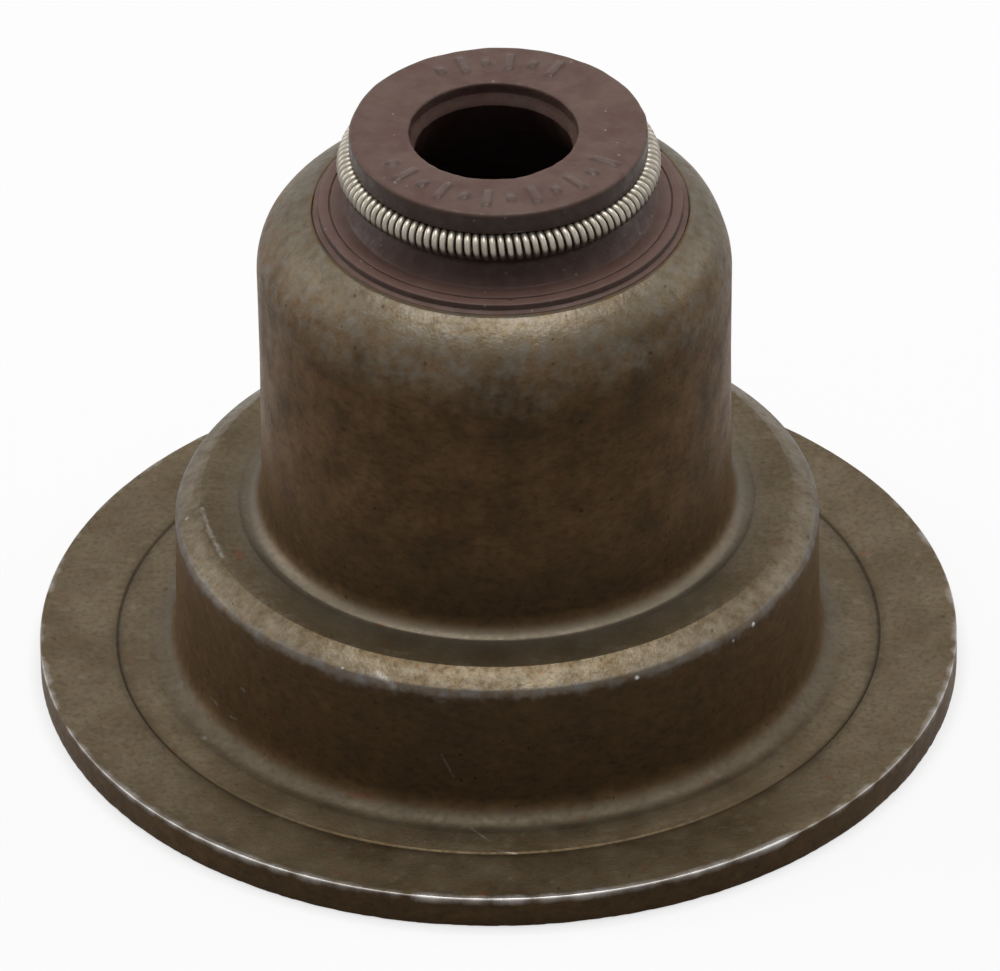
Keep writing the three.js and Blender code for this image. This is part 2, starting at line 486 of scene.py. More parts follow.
casing = {
    "sheet": 1.19,
    "flangeWidth": 4.93,
    "seatWidth": 2.04,
    "seatStepHeight": 0.1,
    "seatSlopeWidth": 1.0,
    "lineWidth": 0.16,
    "lineDepth": 0.05,
    "lineRounding": 0.02,
    "seatRounding": 0.5,
    "footRounding": 0.06,
    "lowerFillet": 0.82,
    "ledgeHeight": 7.32,
    "ledgeWidth": 3.13,
    "bevelWidth": 0.92,
    "bevelDrop": 0.7,
    "bevelRounding": 0.41,
    "upperFillet": 0.72,
    "creaseRounding": 0.82,
    "creaseAngle": 67.0,
    "creaseDepth": 0.1,
    "creaseSteps": 10,
    "ledgeSink": 0.13,
    "ledgeLead": 0.35,
    "ledgeRounding": 0.3,
    "ledgeUnderRounding": 0.3,
    "canHeight": 9.89,
    "swell": 0.06,
    "swellLength": 3.6,
    "shoulderRounding": 2.67,
    "shoulderReach": 1.75,
    "shoulderSteps": 22,
    "innerSteps": 5,
    "edgeRounding": 0.05,
    "columns": 560,
    "outerSpacing": 0.4,
    "innerSpacing": 1.5,
    "burrHeight": 0.03,
    "wave": 0.012,
    "hammer": 0.0015,
    "footRoughness": 0.01,
    # The burr's mean, what the front has more, and its fine and its slow raggedness
    "raggedness": (0.62, 0.38, 0.22, 0.15),
    # How far each mark reaches from its line, and where the foot's and the fillet's lines are
    "reach": {
        "burr": 0.06,
        "lowerEdge": 0.12,
        "edge": 0.34,
        "groove": 0.11,
        "bevel": 0.5,
        "foot": 0.62,
        "fillet": 0.75,
        "line": 0.4,
    },
    "footMiddle": (0.3, 0.35),
    "filletMiddle": (0.25, 0.2),
    # Upward slopes between which a surface starts to count as flat, bevel or ledge
    "flatSlope": (0.35, 0.85),
    "bevelSlope": (0.6, 0.75),
    "ledgeSlope": (0.9, 0.97),
    "ledgeBand": (0.3, 0.1),
    # Heights between which the painted shade low on the walls comes in
    "lowShadeBand": (12.0, 8.2),
    "shoulderBand": (-1.9, 1.4),
    # How much of each layer's colour is laid on
    "shares": {
        "reddish": 0.45,
        "fine": 0.3,
        # the painted shade low on the walls
        "low": 0.7,
        "marks": 0.25,
        "flecks": 0.3,
        "lights": 0.3,
        "blotch": 0.4,
        "grime": 0.45,
        "fillet": 0.7,
        "foot": 0.75,
        "bevelHighlight": 0.6,
        "groove": 0.75,
        "specks": 0.6,
        "rusty": 0.6,
        "scratches": 0.7,
    },
    "leastBloom": 0.2,
    "bloomMetal": 0.56,
    "ledgeTarnish": 0.3,
    "wornMetal": 0.8,
    "metal": (0.03, 0.85),
    "roughness": (0.47, 0.38),
    "footDullness": 0.16,
    "grimeDullness": 0.1,
    "specular": 0.03,
    "bevelGrain": 0.8,
    "grain": (0.8, 2.2),
    "bump": (0.4, 0.02),
    "brown": (0.23, 0.135, 0.063, 1.0),
    "umber": (0.108, 0.068, 0.035, 1.0),
    "russet": (0.21, 0.09, 0.037, 1.0),
    "olive": (0.085, 0.063, 0.035, 1.0),
    "khaki": (0.126, 0.099, 0.062, 1.0),
    # the colour of the painted highlight on the bevel
    "highlightCream": (0.2, 0.17, 0.125, 1.0),
    "greyPatina": (0.138, 0.121, 0.095, 1.0),
    "darkOlive": (0.045, 0.034, 0.02, 1.0),
    "footShade": (0.095, 0.081, 0.06, 1.0),
    "scratchGrey": (0.3, 0.28, 0.25, 1.0),
    "dirt": (0.03, 0.02, 0.01, 1.0),
    "wornBlue": (0.13, 0.13, 0.128, 1.0),
    "bare": (0.62, 0.6, 0.58, 1.0),
    "rust": (0.15, 0.04, 0.015, 1.0),
    # Scratches and rust marks from end to end: angle from the front towards +X, radius and height
    "scratches": [
        ((-87, 10.6, 7.18), (-79.4, 10.51, 7.18), 0.11),
        ((-79.4, 10.51, 7.18), (-70, 10.48, 7.18), 0.13),
        ((-22.6, 11.27, 6.83), (-19, 11.52, 6.57), 0.16),
        ((-10.3, 11.57, 3.93), (-8.1, 11.57, 2.97), 0.06),
        ((-5.1, 12.28, 1.29), (-1.8, 13.0, 1.29), 0.05),
        ((-0.8, 13.5, 1.25), (2.4, 13.7, 1.2), 0.06),
        ((-63.4, 11.56, 2.1), (-60.8, 11.56, 2.12), 0.09),
        ((-56.8, 11.56, 2.12), (-54.7, 11.56, 2.22), 0.08),
        ((-53, 11.56, 3.79), (-52, 11.56, 3.77), 0.09),
        ((-58.6, 12.4, 1.29), (-58.4, 12.4, 1.29), 0.12),
    ],
    "rustMarks": [
        ((-70, 9.9, 7.18), (-68.5, 9.94, 7.18), 0.28),
        ((-27, 11.8, 1.56), (-23.4, 11.72, 1.68), 0.17),
    ],
}

lowerWallRadius = flangeRadius - casing["flangeWidth"]
upperWallRadius = lowerWallRadius - casing["ledgeWidth"]
shoulderRadius = upperWallRadius + casing["swell"]
holeRadius = shoulderRadius - casing["shoulderReach"]
shoulderHeight = casing["ledgeHeight"] + casing["canHeight"]
shoulderCentre = shoulderRadius - casing["shoulderRounding"]
bevelFoot = (lowerWallRadius, casing["ledgeHeight"] - casing["bevelDrop"])
bevelTop = (lowerWallRadius - casing["bevelWidth"], casing["ledgeHeight"] - casing["ledgeSink"])
seatEdge = lowerWallRadius + casing["seatWidth"]


def shoulderArc(rounding, wall, steps):
    # Points on the shoulder's arc, from the can's wall up to the wall of the hole.
    angles = np.linspace(0, math.acos((wall - shoulderCentre) / rounding), steps + 1)
    return [
        (shoulderCentre + rounding * math.cos(a), shoulderHeight + rounding * math.sin(a), 0.0)
        for a in angles
    ]


def creaseArc(steps):
    # The upper wall's foot: an arc that leaves the wall straight and meets the ledge in a crease, where it
    # still slopes, a little below the ledge.
    end = math.radians(casing["creaseAngle"])
    rounding = casing["creaseRounding"]
    top = bevelTop[1] - casing["creaseDepth"] + rounding * math.sin(end)
    angles = np.linspace(end, 0, steps + 1)
    return [
        (upperWallRadius + rounding * (1 - math.cos(a)), top - rounding * math.sin(a), 0.0)
        for a in angles
    ]


def casingOutline():
    # From the flange's underside up the outer side, and down again inside at the thickness of the sheet.
    sheet = casing["sheet"]
    edge = casing["edgeRounding"]
    line = casing["lineWidth"] / 2
    lineRounding = casing["lineRounding"]
    seatTop = sheet + casing["seatStepHeight"]
    underside = casing["ledgeHeight"] - sheet
    swellFoot = shoulderHeight - casing["swellLength"]
    crease = creaseArc(casing["creaseSteps"])
    outer = [
        (flangeRadius, 0.0, casing["footRounding"]),
        (flangeRadius, sheet, edge),
        (seatEdge + 2 * line, sheet, lineRounding),
        (seatEdge + line, sheet - casing["lineDepth"], lineRounding),
        (seatEdge, sheet, lineRounding),
        (seatEdge - casing["seatSlopeWidth"], seatTop, casing["seatRounding"]),
        (lowerWallRadius, seatTop, casing["lowerFillet"]),
        (*bevelFoot, casing["bevelRounding"]),
        (*bevelTop, edge),
        (crease[0][0] + casing["ledgeLead"], bevelTop[1], casing["ledgeRounding"]),
        *crease,
        (upperWallRadius, swellFoot, 0.0),
        *shoulderArc(casing["shoulderRounding"], holeRadius, casing["shoulderSteps"]),
    ]
    inner = [
        *shoulderArc(casing["shoulderRounding"] - sheet, holeRadius, casing["innerSteps"])[::-1],
        (upperWallRadius - sheet, swellFoot, 0.0),
        (upperWallRadius - sheet, underside, casing["upperFillet"] + sheet),
        (lowerWallRadius - sheet, underside, casing["ledgeUnderRounding"]),
        (lowerWallRadius - sheet, 0.0, casing["lowerFillet"] + sheet),
    ]
    spacings = [casing["outerSpacing"]] * len(outer) + [casing["innerSpacing"]] * len(inner)
    return roundedOutline(outer + inner, spacings)


def onCasing(angle, radius, height):
    # A point in metres from its angle, radius and height.
    turned = math.radians(angle)
    return (radius * math.sin(turned) * mm, -radius * math.cos(turned) * mm, height * mm)


def lineMarks(tree, lines):
    # The strongest of the scratches from end to end.
    marks = 0.0
    for start, end, width in lines:
        one = place(tree, scratch, From=onCasing(*start), To=onCasing(*end), Width=width * 2 * mm)
        marks = mathNode(tree, "MAXIMUM", one, marks)
    broken = place(tree, cloudPatches, Size=0.2, Low=0.3, High=0.58, Offset=0.01)
    return mathNode(tree, "MULTIPLY", marks, broken)


def steelMaterial():
    material, tree, principled = newMaterial("tarnishedSteel")
    share = casing["shares"]
    flat = attribute(tree, "flat")
    shoulder = attribute(tree, "shoulder")

    # Brown walls with reddish mottling, faint upright drawing marks, and painted shade that darkens them
    # towards the bottom
    mottle = place(tree, cloudPatches, Size=1.5, Low=0.36, High=0.66)
    reddish = place(tree, cloudPatches, Size=0.5, Low=0.5, High=0.72, Offset=0.06)
    fine = place(tree, cloudPatches, Size=0.28, Low=0.4, High=0.62, Offset=0.04, Stretch=(1.0, 1.0, 1.5))
    marks = place(tree, cloudPatches, Size=0.45, Low=0.3, High=0.75, Offset=0.02, Stretch=(1.0, 1.0, 0.12))
    flecks = place(tree, cloudPatches, Size=0.35, Low=0.48, High=0.66, Offset=0.11, Stretch=(1.0, 1.0, 1.6))
    lights = place(tree, cloudPatches, Size=0.6, Low=0.5, High=0.7, Offset=0.13, Stretch=(1.0, 1.0, 1.4))
    walls = mixColour(tree, mottle, casing["umber"], casing["brown"])
    walls = tint(tree, walls, reddish, share["reddish"], casing["russet"])
    walls = tint(tree, walls, fine, share["fine"], casing["umber"])
    # Painted shade: umber laid over the walls, darker towards the bottom
    walls = tint(tree, walls, attribute(tree, "low"), share["low"], casing["umber"])
    walls = tint(tree, walls, marks, share["marks"], casing["umber"])
    walls = tint(tree, walls, flecks, share["flecks"], casing["dirt"])
    walls = tint(tree, walls, lights, share["lights"], casing["brown"])

    # Olive to khaki on the flat places, greyer in the fillets, with painted shade in the lower fillet and a
    # painted creamy highlight on the bevel
    clouds = place(tree, cloudPatches, Size=2.4, Low=0.36, High=0.64, Offset=0.05)
    blotch = place(tree, cloudPatches, Size=0.5, Low=0.4, High=0.62, Offset=0.08)
    grime = place(tree, cloudPatches, Size=0.22, Low=0.46, High=0.66, Offset=0.12)
    foot = attribute(tree, "foot")
    bevel = attribute(tree, "bevel")
    # Painted highlight: a paler cream on the bevel, where it catches the lamp
    bevelHighlight = place(tree, edgeWear, Edge=bevel, Size=0.55, Break=3.2, Low=0.2, High=1.3)
    colour = mixColour(tree, clouds, casing["olive"], casing["khaki"])
    colour = tint(tree, colour, blotch, share["blotch"], casing["umber"])
    colour = tint(tree, colour, grime, share["grime"], casing["darkOlive"])
    colour = tint(tree, colour, attribute(tree, "fillet"), share["fillet"], casing["greyPatina"])
    # Painted shade: a darker grey in the lower fillet dims its highlight
    colour = tint(tree, colour, foot, share["foot"], casing["footShade"])
    colour = tint(tree, colour, bevelHighlight, share["bevelHighlight"], casing["highlightCream"])
    colour = mixColour(tree, flat, walls, colour)

    # Grey bloom on the shoulder, in blotches
    bloom = place(tree, edgeWear, Edge=shoulder, Size=1.3, Break=1.8, Low=0.3, High=1.2)
    broken = place(tree, cloudPatches, Size=0.45, Low=0.36, High=0.64, Offset=0.03)
    bloom = mathNode(tree, "MULTIPLY", bloom, mapRange(tree, broken, 0.0, 1.0, casing["leastBloom"], 1.0))
    colour = mixColour(tree, bloom, colour, casing["greyPatina"])

    # Dirt in the groove and in pits, and rust
    groove = place(tree, edgeWear, Edge=attribute(tree, "groove"), Size=1.5, Break=0.5, Low=0.2, High=0.9)
    specks = place(tree, pits, Size=0.5, Width=0.2, Share=0.3, Stretch=(1.0, 0.7, 1.0))
    rusty = place(tree, cloudPatches, Size=0.7, Low=0.66, High=0.78, Offset=0.09)
    rusty = mathNode(tree, "MAXIMUM", rusty, lineMarks(tree, casing["rustMarks"]))
    colour = tint(tree, colour, groove, share["groove"], casing["dirt"])
    colour = tint(tree, colour, specks, share["specks"], casing["dirt"])
    colour = tint(tree, colour, rusty, share["rusty"], casing["rust"])

    # Worn and bare edges, and scratches
    edge = attribute(tree, "edge")
    worn = place(tree, edgeWear, Edge=edge, Size=0.6, Break=2.0, Low=0.5, High=1.5)
    bare = place(tree, edgeWear, Edge=attribute(tree, "burr"), Size=0.5, Break=0.4, Low=0.22, High=1.2)
    nicks = place(tree, pits, Size=0.7, Width=0.2, Share=0.25)
    bare = mathNode(tree, "MAXIMUM", bare, mathNode(tree, "MULTIPLY", nicks, edge))
    scratches = lineMarks(tree, casing["scratches"])
    colour = mixColour(tree, worn, colour, casing["wornBlue"])
    colour = mixColour(tree, bare, colour, casing["bare"])
    colour = tint(tree, colour, scratches, share["scratches"], casing["scratchGrey"])
    feed(tree, colour, principled.inputs["Base Color"])

    # The walls are dull with tarnish, the flat and the worn places more metallic.
    metal = mathNode(tree, "MAXIMUM", flat, mathNode(tree, "MULTIPLY", bloom, casing["bloomMetal"]))
    tarnished = mathNode(tree, "MULTIPLY", attribute(tree, "ledge"), casing["ledgeTarnish"])
    metal = mathNode(tree, "SUBTRACT", metal, tarnished)
    metal = mapRange(tree, metal, 0.0, 1.0, *casing["metal"])
    metal = mathNode(tree, "MAXIMUM", metal, mathNode(tree, "MULTIPLY", worn, casing["wornMetal"]))
    feed(tree, mathNode(tree, "MAXIMUM", metal, bare), principled.inputs["Metallic"])
    rough = mapRange(tree, mottle, 0.0, 1.0, *casing["roughness"])
    rough = mathNode(tree, "ADD", rough, mathNode(tree, "MULTIPLY", foot, casing["footDullness"]))
    rough = mathNode(tree, "ADD", rough, mathNode(tree, "MULTIPLY", grime, casing["grimeDullness"]))
    feed(tree, rough, principled.inputs["Roughness"])
    principled.inputs["Specular IOR Level"].default_value = casing["specular"]

    # Grain, stronger on the shoulder and the bevel
    grain = place(tree, fineGrain, Size=0.12, Coarse=0.7, Share=2.5)
    strong = mathNode(tree, "MAXIMUM", shoulder, mathNode(tree, "MULTIPLY", bevel, casing["bevelGrain"]))
    grain = mathNode(tree, "MULTIPLY", grain, mapRange(tree, strong, 0.0, 1.0, *casing["grain"]))
    feed(tree, bump(tree, grain, *casing["bump"]), principled.inputs["Normal"])
    return material


def makeCasing():
    points = casingOutline()
    normals = outlineNormals(points)
    columns = casing["columns"]
    radius, height = points[:, :1], points[:, 1:]
    out, up = normals[:, :1], normals[:, 1:]
    sheet = casing["sheet"]
    holeTop = height.max()
    outside = np.arange(len(points))[:, None] <= np.argmax(height[:, 0])

    def near(r, z, width):
        # 1 on the outline at (r, z), falling off over the width.
        return np.exp(-((radius - r) ** 2 + (height - z) ** 2) / width**2) * outside

    reach = casing["reach"]
    rimEdge = near(flangeRadius, sheet, reach["burr"])
    lowerEdge = near(flangeRadius, 0.0, reach["lowerEdge"])
    bevelEdge = near(*bevelFoot, reach["edge"])
    groove = near(seatEdge + casing["lineWidth"] / 2, sheet - casing["lineDepth"] / 2, reach["groove"])
    bevel = near((bevelFoot[0] + bevelTop[0]) / 2, (bevelFoot[1] + bevelTop[1]) / 2, reach["bevel"])
    bevel *= smoothStep(*casing["bevelSlope"], up)
    # The lower fillet, where painted shade dims the highlight
    footOut, footUp = casing["footMiddle"]
    foot = near(lowerWallRadius + footOut, sheet + footUp, reach["foot"])
    filletOut, filletUp = casing["filletMiddle"]
    fillet = near(upperWallRadius + filletOut, bevelTop[1] + filletUp, reach["fillet"])
    ledge = smoothStep(*casing["ledgeBand"], np.abs(height - bevelTop[1]))
    ledge = ledge * smoothStep(*casing["ledgeSlope"], up) * outside
    # Painted shade on the walls: none above the band, full below it
    low = smoothStep(*casing["lowShadeBand"], height)
    flat = smoothStep(*casing["flatSlope"], up) * outside
    shoulderFoot, shoulderHead = casing["shoulderBand"]
    shoulder = smoothStep(shoulderHeight + shoulderFoot, shoulderHeight + shoulderHead, height) * outside

    # Relief along the normal: slow waves of the pressed sheet, a ragged burr and a rough lower edge.
    around = np.linspace(0, 2 * np.pi, columns, endpoint=False)[None, :]
    mean, front, fine, slow = casing["raggedness"]
    ragged = mean + front * np.cos(around) + fine * randomField((1, columns), waves=(1, 130), seed=12)
    ragged = np.clip(ragged + slow * randomField((1, columns), waves=(1, 12), seed=13), 0, 1.5)
    relief = casing["wave"] * outlineField(points, columns, size=9, seed=11) * (1 - rimEdge)
    relief += casing["hammer"] * outlineField(points, columns, size=1.1, seed=14)
    relief += casing["burrHeight"] * rimEdge * ragged
    chips = np.abs(randomField((1, columns), waves=(1, 200), seed=15))
    relief -= casing["footRoughness"] * lowerEdge * chips
    relief *= outside
    # Round the narrow line in the seat the relief only lifts, so that its sides don't cross.
    nearLine = near(seatEdge, sheet, reach["line"]) > 0.1
    out = np.where(nearLine, 0.0, out)
    up = np.where(nearLine, 1.0, up)
    newRadius = np.minimum(radius + out * relief, flangeRadius)
    newHeight = np.clip(height + up * relief, 0.0, holeTop)
    masks = {
        "flat": flat,
        "edge": bevelEdge,
        "burr": rimEdge * ragged,
        "groove": groove,
        "shoulder": shoulder,
        "low": low,
        "bevel": bevel,
        "foot": foot,
        "fillet": fillet,
        "ledge": ledge,
    }
    piece = turnedPiece("steelCasing", newRadius, newHeight, columns, masks, steelMaterial())
    finishPiece(piece, "casing")
    print("steel casing made:", len(points), "rows,", len(piece.data.polygons) * 2, "triangles")


makeCasing()


# Rubber body

rubber = {
    "bondGap": 0.03,
    "headRadius": 5.34,
    "headRounding": 0.15,
    "boreRadius": 3.02,
    "boreRounding": 0.09,
    "boreDepth": 0.5,
    "lipRadius": 2.83,
    "lipDepth": 0.92,
    "neckDrop": 2.21,
    "neckRadius": 4.87,
    "collarInset": 0.21,
    "collarHeight": 0.28,
    "outerRing": 0.36,
    "ringLine": 0.07,
    "innerRing": 0.5,
    "ringRise": 0.08,
    "chamberFlare": 0.49,
    "guideStopRise": 0.53,
    "guideStopWidth": 1.3,
    "valleyRadius": 6.2,
    "gripRadius": 5.9,
    "gripCount": 3,
    "gripFootWidth": 1.0,
    "gripCrestWidth": 0.4,
    "leadInWidth": 0.4,
    "leadInHeight": 0.82,
    "springDrop": 1.46,
    "springRadius": 5.27,
    "coilRadius": 0.52,
    "grooveGap": 0.02,
    "grooveWrap": 150.0,
    "columns": 480,
    "spacing": 0.15,
    "hiddenSpacing": 1.5,
    "headFoot": 0.8,
    "markHeight": 0.08,
    "markWidth": 0.3,
    "markLength": 0.95,
    "shortMark": 0.34,
    "markMiddle": 4.3,
    "markCount": 32,
    "frontArc": 65.0,
    "backArc": 35.0,
    "ripple": 0.007,
    "markFlank": (0.05, -0.04),
    "markEnd": 0.06,
    # Heights and slopes between which the finer marks come in, from the shoulder, the head's top or the
    # collar's top
    "shownBand": (1.6, 2.4),
    # Where painted shade goes on the head's and the collar's short walls
    "wallSlope": (0.5, 0.9),
    "headFootBand": (-1.0, -0.8),
    "headTopBand": (-0.02, -0.2),
    "collarTopBand": (0.06, -0.04),
    "ringReach": 0.16,
    "ringBand": (5.4, 5.6),
    # Where painted shade goes in the line round the collar
    "lineDepth": 0.08,
    "lineReach": 0.06,
    "lineInner": (6.0, 6.05),
    "lineOuter": (6.25, 6.2),
    "shares": {"ring": 0.7, "rim": 2.4, "wall": 0.6, "glintSpecks": 0.5},
    "shine": 0.5,
    "roughness": (0.42, 0.24),
    "coat": 0.25,
    "coatRoughness": 0.2,
    "specular": 0.12,
    "bump": (0.7, 0.02),
    "chocolate": (0.118, 0.074, 0.06, 1.0),
    "maroon": (0.095, 0.052, 0.042, 1.0),
    "redRing": (0.135, 0.078, 0.064, 1.0),
    "shade": (0.05, 0.032, 0.024, 1.0),
    # the colour of the painted glints
    "glintSpecks": (0.3, 0.28, 0.26, 1.0),
}

springHeight = headTop - rubber["springDrop"]
holeAngle = math.acos((holeRadius - shoulderCentre) / casing["shoulderRounding"])
holeTop = shoulderHeight + casing["shoulderRounding"] * math.sin(holeAngle)
collarTop = holeTop + rubber["collarHeight"]
faceTop = headTop - rubber["markHeight"]


def gripRibs(top, bottom):
    # Corners of the ribs that grip the valve guide, in downward order.
    valley, crest = rubber["valleyRadius"], rubber["gripRadius"]
    corners = []
    for i in range(rubber["gripCount"]):
        middle = top - (top - bottom) / rubber["gripCount"] * (i + 0.5)
        foot, tip = rubber["gripFootWidth"] / 2, rubber["gripCrestWidth"] / 2
        corners += [
            (valley, middle + foot, 0.1),
            (crest, middle + tip, 0.1),
            (crest, middle - tip, 0.1),
            (valley, middle - foot, 0.1),
        ]
    return corners


def bodyOutline():
    # The lining's outer side, then up through the hole to the head, and down inside to the lining's foot.
    # A corner is (radius, height, rounding).
    gap = rubber["bondGap"]
    sheet = casing["sheet"]
    liningRadius = upperWallRadius - sheet - gap
    throat = holeRadius - gap
    collar = throat - rubber["collarInset"]
    wrapRounding = casing["shoulderRounding"] - sheet - gap
    innerAngle = math.acos((holeRadius - shoulderCentre) / (wrapRounding + gap))
    holeBottom = shoulderHeight + (wrapRounding + gap) * math.sin(innerAngle)
    line = collar - rubber["outerRing"]
    innerStart = line - rubber["ringLine"]
    neckFoot = innerStart - rubber["innerRing"]
    ringTop = collarTop + rubber["ringRise"]
    neck = headTop - rubber["neckDrop"]
    stop = shoulderHeight + rubber["guideStopRise"]
    valley = rubber["valleyRadius"]
    chamber = valley - rubber["guideStopWidth"]
    leadInTop = liningFoot + rubber["leadInHeight"]
    springRadius = rubber["springRadius"]
    groove = rubber["coilRadius"] + rubber["grooveGap"]
    grooveAngles = np.radians(np.linspace(90 + rubber["grooveWrap"], 90, 9))
    grooveRun = [
        (springRadius + groove * math.cos(a), springHeight + groove * math.sin(a), 0.0)
        for a in grooveAngles
    ]
    wrap = [
        (shoulderCentre + wrapRounding * math.cos(a), shoulderHeight + wrapRounding * math.sin(a), 0.0)
        for a in np.linspace(0, innerAngle, 4)
    ]
    hidden = [
        (liningRadius, liningFoot, 0.1),
        *wrap,
        (throat, wrap[-1][1], 0.0),
    ]
    shown = [
        (throat, holeTop + 0.02, 0.05),
        (collar + 0.02, holeTop + 0.05, 0.05),
        (collar, collarTop, 0.06),
        (line, collarTop + 0.02, 0.02),
        ((line + innerStart) / 2, collarTop - rubber["lineDepth"], 0.02),
        (innerStart, collarTop + 0.03, 0.04),
        (neckFoot, ringTop, 0.08),
        (rubber["neckRadius"] + 0.25, neck - 0.1, 0.5),
        (rubber["neckRadius"] - 0.06, neck + 0.12, 0.1),
        *grooveRun,
        (rubber["headRadius"] - 0.02, springHeight + groove + 0.01, 0.02),
        (rubber["headRadius"], springHeight + rubber["headFoot"], 0.04),
        (rubber["headRadius"], faceTop, rubber["headRounding"]),
        (rubber["boreRadius"], faceTop, rubber["boreRounding"]),
        (rubber["boreRadius"], headTop - rubber["boreDepth"], 0.1),
        (rubber["lipRadius"], headTop - rubber["lipDepth"], 0.04),
        (rubber["lipRadius"] + rubber["chamberFlare"], neck, 0.3),
    ]
    inside = [
        (chamber, holeBottom, 0.3),
        (chamber, stop, 0.08),
        (valley, stop, 0.08),
        *gripRibs(stop, leadInTop),
        (valley, leadInTop, 0.1),
        (valley + rubber["leadInWidth"], liningFoot, 0.06),
    ]
    spacings = [rubber["hiddenSpacing"]] * len(hidden) + [rubber["spacing"]] * len(shown)
    spacings += [rubber["hiddenSpacing"]] * len(inside)
    return roundedOutline(hidden + shown + inside, spacings)


def rubberMaterial():
    # Brown, redder on the collar's rim, with painted shade beside the bars and on the short walls, and
    # painted glints in small specks
    material, tree, principled = newMaterial("brownRubber")
    share = rubber["shares"]
    mottle = place(tree, cloudPatches, Size=1.2, Low=0.4, High=0.65, Offset=0.07)
    ring = place(tree, edgeWear, Edge=attribute(tree, "ring"), Size=0.6, Break=0.6, Low=0.3, High=1.1)
    marks = attribute(tree, "marks")
    # Painted shade along the flanks of the raised bars
    rim = mathNode(tree, "MULTIPLY", marks, mathNode(tree, "SUBTRACT", 1.0, marks))
    # Painted glints: small light specks on the rubber that shows
    glintSpecks = place(tree, pits, Size=0.4, Width=0.2, Share=0.35)
    glintSpecks = mathNode(tree, "MULTIPLY", glintSpecks, attribute(tree, "shown"))
    colour = mixColour(tree, mottle, rubber["chocolate"], rubber["maroon"])
    colour = tint(tree, colour, ring, share["ring"], rubber["redRing"])
    colour = tint(tree, colour, rim, share["rim"], rubber["shade"])
    # Painted shade on the short walls and in the line round the collar
    colour = tint(tree, colour, attribute(tree, "wall"), share["wall"], rubber["shade"])
    colour = tint(tree, colour, glintSpecks, share["glintSpecks"], rubber["glintSpecks"])
    feed(tree, colour, principled.inputs["Base Color"])
    shine = place(tree, cloudPatches, Size=0.35, Low=0.45, High=0.7, Offset=0.04)
    shine = mathNode(tree, "MAXIMUM", marks, mathNode(tree, "MULTIPLY", shine, rubber["shine"]))
    feed(tree, mapRange(tree, shine, 0.0, 1.0, *rubber["roughness"]), principled.inputs["Roughness"])
    feed(tree, mathNode(tree, "MULTIPLY", shine, rubber["coat"]), principled.inputs["Coat Weight"])
    principled.inputs["Coat Roughness"].default_value = rubber["coatRoughness"]
    principled.inputs["Specular IOR Level"].default_value = rubber["specular"]
    grain = place(tree, fineGrain, Size=0.14, Coarse=0.6, Share=1.5)
    feed(tree, bump(tree, grain, *rubber["bump"]), principled.inputs["Normal"])
    return material


def headMarks(radius, around):
    # Raised bars on the head in two arcs, pointing outwards, every second one short. Across a bar and at
    # both of its ends the height follows a rounded step.
    pitch = 2 * np.pi / rubber["markCount"]
    across = np.abs((around / pitch) % 1 - 0.5) * pitch * radius
    long = np.floor(around / pitch) % 2
    half = (rubber["shortMark"] + (rubber["markLength"] - rubber["shortMark"]) * long) / 2
    away = np.abs(radius - rubber["markMiddle"])
    outerFlank, innerFlank = rubber["markFlank"]
    bar = smoothStep(rubber["markWidth"] / 2 + outerFlank, rubber["markWidth"] / 2 + innerFlank, across)
    bar = bar * smoothStep(half + rubber["markEnd"], half - rubber["markEnd"], away)
    turned = np.degrees(np.minimum(around, 2 * np.pi - around))
    front = smoothStep(rubber["frontArc"] + 0.5, rubber["frontArc"] - 0.5, turned)
    back = smoothStep(180 - rubber["backArc"] - 0.5, 180 - rubber["backArc"] + 0.5, turned)
    return bar * (front + back)


def makeRubber():
    points = bodyOutline()
    normals = outlineNormals(points)
    columns = rubber["columns"]
    radius, height = points[:, :1], points[:, 1:]
    out, up = normals[:, :1], normals[:, 1:]
    around = np.linspace(0, 2 * np.pi, columns, endpoint=False)[None, :]
    shownFoot, shownHead = rubber["shownBand"]
    shown = smoothStep(shoulderHeight + shownFoot, shoulderHeight + shownHead, height)
    onTop = smoothStep(faceTop - 0.01, faceTop, height)
    relief = rubber["ripple"] * outlineField(points, columns, size=0.7, seed=21) * shown
    marks = headMarks(radius, around) * onTop
    relief = relief + rubber["markHeight"] * marks
    newRadius = radius + out * relief
    newHeight = np.minimum(height + up * relief, headTop)

    # The collar's rim, and painted shade on the walls of the head, the collar and the line round the collar
    collarRing = bell(height - collarTop, rubber["ringReach"]) * smoothStep(*rubber["ringBand"], radius)
    collarRing = collarRing * (out > -0.2)
    upright = smoothStep(*rubber["wallSlope"], out)
    fromTop = height - headTop
    fromCollar = height - collarTop
    headWall = upright * smoothStep(*rubber["headFootBand"], fromTop)
    headWall = headWall * smoothStep(*rubber["headTopBand"], fromTop)
    collarWall = upright * smoothStep(holeTop, holeTop + 0.08, height)
    collarWall = collarWall * smoothStep(*rubber["collarTopBand"], fromCollar)
    line = bell(fromCollar + rubber["lineDepth"], rubber["lineReach"])
    line = line * smoothStep(*rubber["lineOuter"], radius) * smoothStep(*rubber["lineInner"], radius)
    wall = np.maximum(headWall, np.maximum(collarWall, line))
    masks = {"marks": marks, "shown": shown, "ring": collarRing, "wall": wall}
    piece = turnedPiece("rubberBody", newRadius, newHeight, columns, masks, rubberMaterial())
    finishPiece(piece, "seal_body")
    print("rubber body made:", len(points), "rows,", len(piece.data.polygons) * 2, "triangles")


makeRubber()


# Garter spring

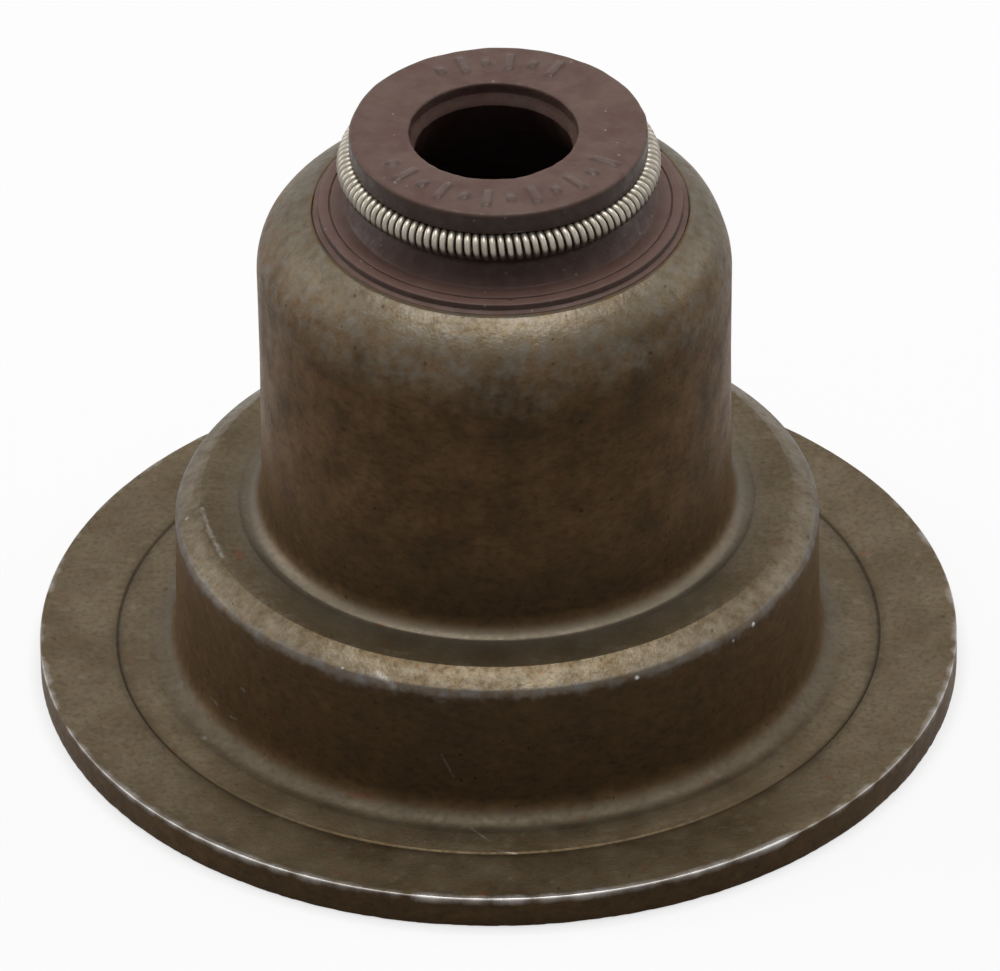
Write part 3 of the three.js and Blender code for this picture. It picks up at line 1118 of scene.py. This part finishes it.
spring = {
    "radius": 5.27,
    "coilRadius": 0.52,
    "wire": 0.252,
    "turns": 116,
    "nibTurns": 4.0,
    "taperTurns": 0.22,
    "nibClearance": 0.03,
    "jointAngle": -10.5,
    "wireEndAngle": -125.0,
    "stepsPerTurn": 32,
    "wireSides": 10,
    "tips": (0.02, 0.9),
    # Heights about the coil's middle between which the painted shade on the underside comes in
    "shadeBand": (0.35, -0.25),
    "shadeShare": 0.8,
    "roughness": (0.28, 0.42),
    "metal": 0.75,
    "clean": (0.44, 0.4, 0.34, 1.0),
    "dull": (0.3, 0.265, 0.21, 1.0),
    "shadeColour": (0.1, 0.082, 0.065, 1.0),
}


def springPath(turn):
    # The wire's centre line at a number of turns: a circle about the axis, with a coil about it. Once
    # round, where the ring closes, the coil's radius has narrowed to that of the nib.
    mean = spring["coilRadius"] - spring["wire"] / 2
    nib = mean - spring["wire"] - spring["nibClearance"]
    narrowed = smoothStep(spring["turns"] - spring["taperTurns"], spring["turns"], turn)
    coil = mean + (nib - mean) * narrowed
    around = np.radians(spring["jointAngle"]) + turn / spring["turns"] * 2 * np.pi
    winding = np.radians(spring["wireEndAngle"]) - turn * 2 * np.pi
    radius = spring["radius"] + coil * np.cos(winding)
    height = springHeight + coil * np.sin(winding)
    return np.stack([radius * np.sin(around) + off["head"], -radius * np.cos(around), height], -1)


def springMaterial():
    material, tree, principled = newMaterial("springWire")
    tarnish = place(tree, cloudPatches, Size=0.5, Low=0.35, High=0.7, Offset=0.09)
    colour = mixColour(tree, tarnish, spring["clean"], spring["dull"])
    # Painted shade: the wire is darker on the coil's underside
    colour = tint(tree, colour, attribute(tree, "under"), spring["shadeShare"], spring["shadeColour"])
    feed(tree, colour, principled.inputs["Base Color"])
    feed(tree, mapRange(tree, tarnish, 0.0, 1.0, *spring["roughness"]), principled.inputs["Roughness"])
    principled.inputs["Metallic"].default_value = spring["metal"]
    return material


def makeSpring():
    total = spring["turns"] + spring["nibTurns"]
    steps = round(total * spring["stepsPerTurn"])
    turn = np.linspace(0, total, steps + 1)
    path = springPath(turn)
    along = np.gradient(path, axis=0)
    along /= np.linalg.norm(along, axis=1)[:, None]
    # One side of the section points away from the coil's own circle.
    around = np.radians(spring["jointAngle"]) + turn / spring["turns"] * 2 * np.pi
    middle = np.stack([np.sin(around), -np.cos(around), 0 * around], -1) * spring["radius"]
    middle += (off["head"], 0.0, springHeight)
    away = path - middle
    away -= (away * along).sum(1)[:, None] * along
    away /= np.linalg.norm(away, axis=1)[:, None]
    side = np.cross(along, away)
    angles = np.linspace(0, 2 * np.pi, spring["wireSides"], endpoint=False)
    ring = np.cos(angles)[None, :, None] * away[:, None] + np.sin(angles)[None, :, None] * side[:, None]
    size = np.full(len(turn), spring["wire"] / 2)
    # The wire's two ends close to a point, the first of them a little inwards.
    point, beside = spring["tips"]
    size[[0, -1]] *= point
    size[[1, -2]] *= beside
    path[0] += along[0] * point
    surface = path[:, None] + ring * size[:, None, None]
    x, y, z = surface[..., 0], surface[..., 1], surface[..., 2]
    # 1 on the coil's underside, where the painted shade goes
    under = smoothStep(*spring["shadeBand"], z - springHeight)
    piece = gridMesh("springCoil", x, y, z, {"under": under}, springMaterial(), closedRows=False)
    finishPiece(piece, "garter_spring")
    print("garter spring made:", len(piece.data.polygons) * 2, "triangles")


makeSpring()
